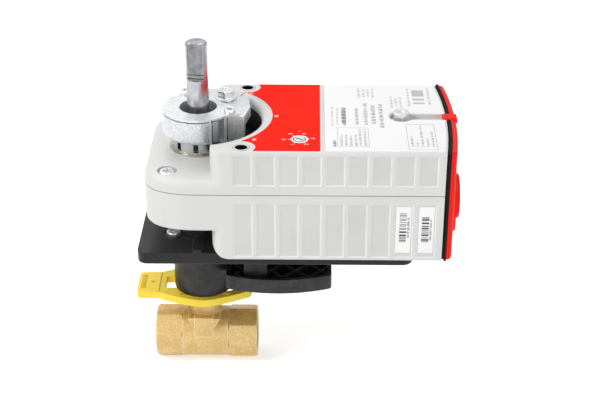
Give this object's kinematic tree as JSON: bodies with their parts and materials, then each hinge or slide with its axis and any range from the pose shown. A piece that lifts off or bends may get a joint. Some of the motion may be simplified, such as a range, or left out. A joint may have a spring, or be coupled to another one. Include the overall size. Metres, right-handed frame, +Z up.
{
  "type": "motorised ball valve",
  "caption": "Brass ball valve with a spring-return rotary actuator on a black bracket, yellow release clip, clamp adapter, mode dial and end wiring cover.",
  "frame": {"origin": "centre of the inlet port's end face, on the pipe axis", "axes": "+X along the pipe from inlet to outlet, towards the wiring cover; +Z up the valve stem; +Y to the back, away from the picture's camera"},
  "size_m": [0.2106, 0.1066, 0.2317],
  "materials": {
    "brass": "satin",
    "ball": "polished",
    "seat": "matte",
    "stem": "satin",
    "seal": "matte",
    "shaft": "bright",
    "clip": "satin",
    "bracket": "matte",
    "neck": "matte",
    "bushing": "satin",
    "housing": "matte",
    "red_label": "satin",
    "white_label": "satin",
    "sticker": "satin",
    "cover": "satin",
    "hub": "satin",
    "ring": "satin",
    "adapter": "cast",
    "screw": "zinc plated",
    "gear": "satin",
    "gear_plate": "satin",
    "motor": "satin",
    "spring": "blued",
    "sensor": "matte",
    "board": "satin",
    "knob": "satin",
    "terminal": "matte"
  },
  "bodies": {
    "frame": {"valve_body": "brass", "valve_tail": "brass", "gland_nut": "brass", "seat_inlet": "seat", "seat_outlet": "seat", "flow_insert": "seat", "end_gasket": "seal", "bracket_plate": "bracket", "bracket_neck": "neck", "neck_bushing": "bushing", "lower_housing": "housing", "upper_housing": "housing", "red_label": "red_label", "white_label": "white_label", "side_sticker_left": "sticker", "side_sticker_right": "sticker", "hub_ring_upper": "ring", "hub_ring_lower": "ring", "cover_screw": "screw", "corner_screw_front": "screw", "corner_screw_back": "screw", "deck_screw_front": "screw", "deck_screw_back": "screw", "plate_screw_front": "screw", "plate_screw_back": "screw", "post_screw_front": "screw", "post_screw_back": "screw", "gear_plate_lower": "gear_plate", "gear_plate_upper": "gear_plate", "motor_case": "motor", "spring_barrel": "motor", "main_spring": "spring", "sensor_body": "sensor", "control_chip": "sensor", "switch_base": "sensor", "circuit_board": "board", "terminal_block": "terminal"},
    "output": {"output_hub": "hub", "output_gear": "gear", "adapter_body": "adapter", "adapter_cap": "adapter", "cap_screw_front": "screw", "cap_screw_back": "screw", "clamp_bolt": "screw", "drive_shaft": "shaft", "valve_stem": "stem", "stem_seal_lower": "seal", "stem_seal_upper": "seal", "valve_ball": "ball"},
    "second_wheel": {"second_gear": "gear", "second_arbor": "stem"},
    "third_wheel": {"third_gear": "gear", "third_arbor": "stem"},
    "motor": {"motor_rotor": "gear"},
    "sensor": {"sensor_gear": "gear"},
    "knob": {"mode_knob": "knob"},
    "clip": {"release_clip": "clip"},
    "cover": {"end_cover": "cover"}
  },
  "joints": [
    {"name": "output_turn", "type": "hinge", "parent": "frame", "child": "output", "pos_m": [0.0332, 0, 0.1335], "axis": [0, 0, -1], "range_deg": [0, 90], "stiffness_Nm_per_rad": 1.6, "springref_deg": -91.67},
    {"name": "second_spin", "type": "hinge", "parent": "frame", "child": "second_wheel", "pos_m": [0.0682, 0, 0.1335], "axis": [0, 0, -1], "range_deg": [-360, 0]},
    {"name": "third_spin", "type": "hinge", "parent": "frame", "child": "third_wheel", "pos_m": [0.08705, -0.00879, 0.1335], "axis": [0, 0, -1], "range_deg": [0, 1201]},
    {"name": "motor_spin", "type": "hinge", "parent": "frame", "child": "motor", "pos_m": [0.10397, -0.00263, 0.1335], "axis": [0, 0, -1], "range_deg": [-4801, 0]},
    {"name": "sensor_spin", "type": "hinge", "parent": "frame", "child": "sensor", "pos_m": [0.03928, -0.03447, 0.1335], "axis": [0, 0, -1], "range_deg": [-360, 0]},
    {"name": "mode_turn", "type": "hinge", "parent": "frame", "child": "knob", "pos_m": [0.0981, -0.0348, 0.1629], "axis": [0, 0, 1], "range_deg": [0, 300]},
    {"name": "clip_slide", "type": "slide", "parent": "frame", "child": "clip", "axis": [-1, 0, 0], "range_m": [0, 0.014]},
    {"name": "cover_slide", "type": "slide", "parent": "frame", "child": "cover", "axis": [1, 0, 0], "range_m": [0, 0.03]}
  ],
  "couplings": [
    {"joint": "second_spin", "follows": "output_turn", "ratio": -4},
    {"joint": "third_spin", "follows": "output_turn", "ratio": 13.333},
    {"joint": "motor_spin", "follows": "output_turn", "ratio": -53.333},
    {"joint": "sensor_spin", "follows": "output_turn", "ratio": -4}
  ]
}
